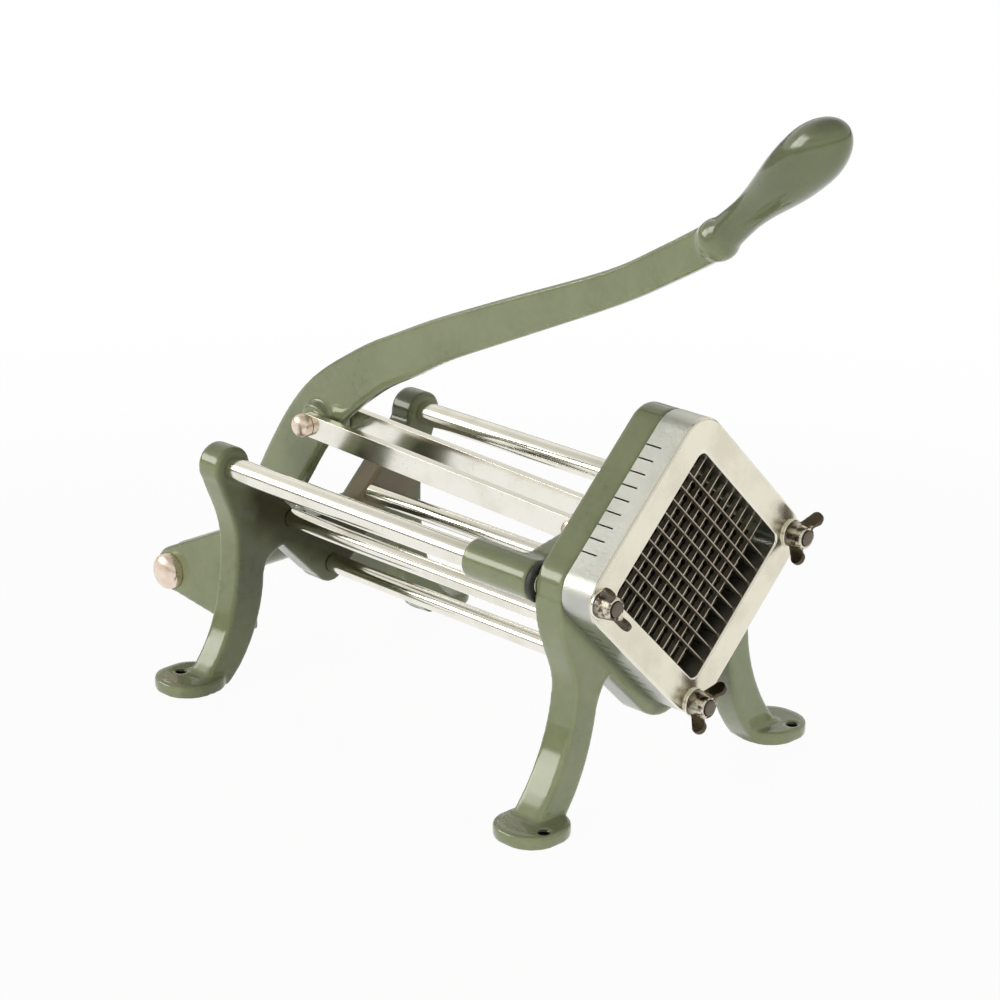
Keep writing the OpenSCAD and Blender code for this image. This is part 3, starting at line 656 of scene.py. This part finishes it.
def polished_alloy(board):
    """Aluminium polished by hand in front, with wandering buff marks and dull patches; cast and satin on the
    sides, where the grain stands out more. The rims are brighter, as they are rubbed most."""
    where = board.place()
    x, y, z = board.parts(where)
    side = y.rise(holder_front + 1.2 * mm, holder_front + 3 * mm)
    buff = board.noise(board.place((260, 60, 60)), 1.0, 3, 0.6)
    dull = board.noise(where, 26, 4, 0.6)
    pits = board.noise(where, 520, 2)
    rim = (abs(x) + abs(z - axis_z)) * slant
    outer_rim = rim.rise(half_side - 2.5 * mm, half_side - 0.3 * mm)
    inner_rim = rim.rise(half_opening + 0.2 * mm, half_opening + 2.2 * mm, 1.0, 0.0)
    worn = (outer_rim + inner_rim).least(1.0)
    face = board.blend(dull.rise(0.4, 0.7), (0.81, 0.775, 0.64), (0.72, 0.68, 0.55))
    edge_on = board.blend(dull.rise(0.35, 0.7), (0.64, 0.65, 0.60), (0.53, 0.54, 0.50))
    colour = board.blend(side, face, edge_on)
    colour = board.blend(worn * 0.35 * (1 - side), colour, (0.93, 0.92, 0.88))
    rough = 0.17 + dull * 0.14 + side * 0.16 + buff.rise(0.5, 0.8) * 0.07 - worn * 0.04
    relief = buff * 0.5 + pits * (0.15 + side * 0.9) + dull * 0.8
    normal = board.add("ShaderNodeBump", None, {"Height": relief, "Strength": 0.22, "Distance": 0.0005})
    return {"Base Color": colour, "Metallic": 1.0, "Roughness": rough, "Normal": normal}


def round_the_face(middle):
    """Whether an edge with this middle lies on the polished face, and not round a stud's bore."""
    off_bore = min(math.hypot(middle.x - x, middle.z - z) for x, z in rod_places)
    return abs(middle.y - holder_front) < 0.2 * mm and off_bore > 6 * mm


holder = crisp("blade_holder", "blade_holder_polished", width=1.5 * mm, steps=4, picked=round_the_face)
stand_for(holder, "blade_holder", surface("polished_alloy", polished_alloy))


# ---------------------------------------------------------------- wing nuts and washers
# Three cast wing nuts in dark, glossy plating clamp the blade holder, each on a turned steel washer. The
# plating is rubbed on the wings and worn through on the hubs, where it is also painted paler as a highlight.

def dark_plating(board):
    """Smoky nickel over a cast nut: brown-black in the hollows, paler where fingers rub the wings, and worn
    through to brighter metal in blotches on the hubs. The paler wings and brighter hubs also stand for a
    painted highlight."""
    where = board.place()
    x, _, z = board.parts(where)
    edge = board.add("ShaderNodeAttribute", {"attribute_name": "edge"}, out="Fac")
    cloud = board.noise(where, 130, 3)
    grain = board.noise(where, 900, 2)
    rubbed = (edge + (cloud - 0.5) * 0.8).rise(0.25, 0.9)
    colour = board.blend(cloud, (0.075, 0.058, 0.040), (0.125, 0.098, 0.068))
    off_side, off_bottom = (abs(x) - rod_x) ** 2 + (z - axis_z) ** 2, x ** 2 + (z - bottom_z) ** 2
    hub = (off_side.least(off_bottom) ** 0.5).rise(7.4 * mm, 8.8 * mm, 1.0, 0.0)
    blotch = board.noise(where, 170, 2)
    # painted highlight as well as worn plating: brighter blotches on the hubs
    colour = board.blend(hub * blotch.rise(0.40, 0.54), colour, (0.72, 0.66, 0.55))
    # painted highlight as well as rubbed plating: paler wing edges
    colour = board.blend(rubbed * 0.8, colour, (0.46, 0.41, 0.33))
    colour = board.blend((edge * -1).rise(0.1, 0.8) * 0.8, colour, (0.030, 0.023, 0.015))
    rough = 0.20 + cloud * 0.12 - rubbed * 0.05
    relief = cloud + grain * 0.3
    normal = board.add("ShaderNodeBump", None, {"Height": relief, "Strength": 0.25, "Distance": 0.0004})
    return {"Base Color": colour, "Metallic": 1.0, "Roughness": rough, "Normal": normal}


plating = surface("dark_nickel", dark_plating)
for node in ("left_wing_nut", "right_wing_nut", "bottom_wing_nut"):
    stand_for(cast(node, grain=0.42 * mm, rounds=7), node, plating)


def washers(node):
    """Three rings with slightly rounded edges, one on each guide rod's stud."""
    low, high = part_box(node)
    bore, outer = 4.8 * mm, 9.25 * mm
    return piece(node + "_turned", *(ring("washer", place, low.y, high.y, bore, outer, 0.35 * mm, 3)
                                     for place in rod_places))


stand_for(washers("wing_nut_washers"), "wing_nut_washers", rod_chrome)


# ---------------------------------------------------------------- carriage, push block and its screws
# The carriage is a third enamelled casting, bored to slide on the side rods. A moulded block whose square
# studs pass between the blades is held to it by four cap screws.

stand_for(cast("pusher_carriage", grain=0.9 * mm, rounds=12), "pusher_carriage", enamel)

block_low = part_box("push_block")[0]


def moulded_block(board):
    """Dark satin plastic, greyer on the studs' worn tips."""
    where = board.place()
    y = board.parts(where)[1]
    cloud = board.noise(where, 90, 3)
    scuffs = board.noise(board.place((140, 900, 300)), 1.0, 3, 0.7)
    tips = y.rise(block_low.y, block_low.y + 1.3 * mm, 1.0, 0.0)
    colour = board.blend(cloud, (0.030, 0.026, 0.019), (0.052, 0.045, 0.033))
    colour = board.blend(scuffs.rise(0.55, 0.8) * (0.2 + tips * 0.5), colour, (0.14, 0.125, 0.10))
    relief = scuffs + cloud
    normal = board.add("ShaderNodeBump", None, {"Height": relief, "Strength": 0.2, "Distance": 0.0004})
    return {"Base Color": colour, "Roughness": 0.42 + cloud * 0.15, "Normal": normal}


block = crisp("push_block", "push_block_moulded", width=0.5 * mm, steps=2,
              picked=lambda middle: middle.y < block_low.y + 0.1 * mm)
stand_for(block, "push_block", surface("block_plastic", moulded_block))


def cap_screws(node):
    """Four cap screws: a shank, a head with rounded edges and a six-sided socket, whose radius at each angle
    is its half width over the cosine of the angle from the nearest flat's middle."""
    low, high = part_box(node)
    shank, head, face, socket = 3 * mm, 4.8 * mm, high.y - 3.5 * mm, 2.1 * mm
    places = [(x, axis_z + z) for x in (-30 * mm, 30 * mm) for z in (-9 * mm, 9 * mm)]
    steps = 48
    corners = [(low.y, 0), (low.y, shank), (face, shank), (face, head), (high.y, head), (high.y, 2.6 * mm)]
    rim = eased(corners, 0.5 * mm, 3)
    well = np.array([(high.y - 0.1 * mm, socket), (high.y - 2.2 * mm, socket), (high.y - 2.6 * mm, 0)])
    profile = np.concatenate((rim, well))
    turn = np.arange(steps) * 2 * np.pi / steps
    flat = (turn + np.pi / 6) % (np.pi / 3) - np.pi / 6
    hexagon = socket / np.cos(flat) - socket
    ripple = np.where(profile[:, 1:] == socket, hexagon, 0)
    return piece(node + "_turned", *(turned("screw", profile, "y", place, steps, ripple=ripple)
                                     for place in places))


stand_for(cap_screws("push_block_screws"), "push_block_screws", rod_chrome)


# ---------------------------------------------------------------- lever
# One long casting in the same enamel: pivot barrel, curved flat bar and a pear-shaped grip. Its broad
# sides are left plain.

stand_for(cast("handle_lever", grain=1.1 * mm, rounds=20), "handle_lever", enamel)


# ---------------------------------------------------------------- links
# Two flat chromed steel bars with round ends, one on each side of the lever. They turn on the lever's pin
# and draw the carriage along the rods.

link_chrome = surface("link_chrome", chrome("y"))
for node in ("left_link_bar", "right_link_bar"):
    bar = crisp(node, node + "_polished", width=0.8 * mm, steps=3)
    stand_for(bar, node, link_chrome)


# ---------------------------------------------------------------- pins and their rings
# Headed pins of a coppery metal join the links and carry the lever. Each has a domed head on the left and
# a spring ring on the right.

def coppery_metal(board):
    """A pinkish copper tone, clouded and finely scored."""
    where = board.place()
    cloud = board.noise(where, 150, 3)
    turned_marks = board.noise(where, 700, 2, 0.6)
    colour = board.blend(cloud.rise(0.35, 0.7), (0.88, 0.75, 0.64), (0.79, 0.63, 0.51))
    colour = board.blend(turned_marks.rise(0.6, 0.75) * 0.3, colour, (0.50, 0.36, 0.27))
    rough = 0.22 + cloud * 0.16
    relief = turned_marks + cloud
    normal = board.add("ShaderNodeBump", None, {"Height": relief, "Strength": 0.2, "Distance": 0.0003})
    return {"Base Color": colour, "Metallic": 1.0, "Roughness": rough, "Normal": normal}


copper = surface("coppery_metal", coppery_metal)


def dome(radius, height, steps=9):
    """A domed head's profile from its rim to its middle: a short wall and a quarter of an ellipse."""
    wall = height * 0.42
    turn = np.linspace(0, np.pi / 2, steps)
    return [(0, radius)] + [(wall + (height - wall) * math.sin(a), radius * math.cos(a)) for a in turn]


def headed_pin(node, shank, head_h, ring_at):
    """Dome, shank with a groove for the spring ring, and a chamfered end."""
    low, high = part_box(node)
    head_r = (high.z - low.z) / 2
    crown = [(low.x + head_h - x, r) for x, r in dome(head_r, head_h)][::-1]
    groove = shank - 0.7 * mm
    rest = [(low.x + head_h, shank), (ring_at, shank), (ring_at, groove), (ring_at + 1.6 * mm, groove),
            (ring_at + 1.6 * mm, shank), (high.x - 0.8 * mm, shank), (high.x, shank - 0.8 * mm), (high.x, 0)]
    profile = np.concatenate((np.array(crown), eased(rest, 0.15 * mm, 2)))
    return piece(node + "_turned", turned(node, profile, "x", centre_of(node, "yz")))


def pin_ends(node):
    """The carriage pin's two low domes, each with the stub that fills its link bar's eye."""
    low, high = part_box(node)
    head_r, stub, eye, face = (high.z - low.z) / 2, 5 * mm, 12.5 * mm, 18.5 * mm
    crown = np.array([(face + x, r) for x, r in dome(head_r, high.x - face)])
    profile = np.concatenate((np.array([(eye, 0), (eye, stub), (face, stub)]), crown))
    return piece(node + "_turned", *(turned(node, profile * (side, 1), "x", centre_of(node, "yz"))
                                     for side in (-1, 1)))


def spring_ring(node, bore):
    """A ring stamped from spring steel, open over a sixth of a turn: a rectangle with rounded corners carried
    round its arc, with both ends closed."""
    low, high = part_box(node)
    (cy, cz), outer = centre_of(node, "yz"), (high.z - low.z) / 2
    corners = np.array([(low.x, bore), (low.x, outer), (high.x, outer), (high.x, bore)])
    section = eased(np.concatenate((corners, corners[:1], corners[1:2])), 0.3 * mm, 3)[1:-1]
    half_gap, steps = np.radians(28), 60
    turn = np.linspace(half_gap, 2 * np.pi - half_gap, steps)[:, None]
    grid = np.stack((np.broadcast_to(section[:, 0], (steps, len(section))),
                     cy + np.sin(turn) * section[:, 1], cz - np.cos(turn) * section[:, 1]), -1)
    middle = grid.mean(1, keepdims=True)
    grid = np.concatenate((np.broadcast_to(middle[:1], grid[:1].shape), grid,
                           np.broadcast_to(middle[-1:], grid[:1].shape)))
    return piece(node + "_sprung", surface_mesh(node, grid))


ring_chrome = surface("ring_chrome", chrome("z"))
link_pin = headed_pin("link_pin", shank=5 * mm, head_h=8.5 * mm, ring_at=18.8 * mm)
stand_for(link_pin, "link_pin", copper)
pivot_pin = headed_pin("pivot_pin", shank=8 * mm, head_h=10 * mm, ring_at=72.3 * mm)
stand_for(pivot_pin, "pivot_pin", copper)
stand_for(pin_ends("carriage_pin_heads"), "carriage_pin_heads", copper)
dress("carriage_pin", copper)
link_ring = spring_ring("link_pin_ring", bore=4.4 * mm)
stand_for(link_ring, "link_pin_ring", ring_chrome)
pivot_ring = spring_ring("pivot_pin_ring", bore=7.4 * mm)
stand_for(pivot_ring, "pivot_pin_ring", ring_chrome)
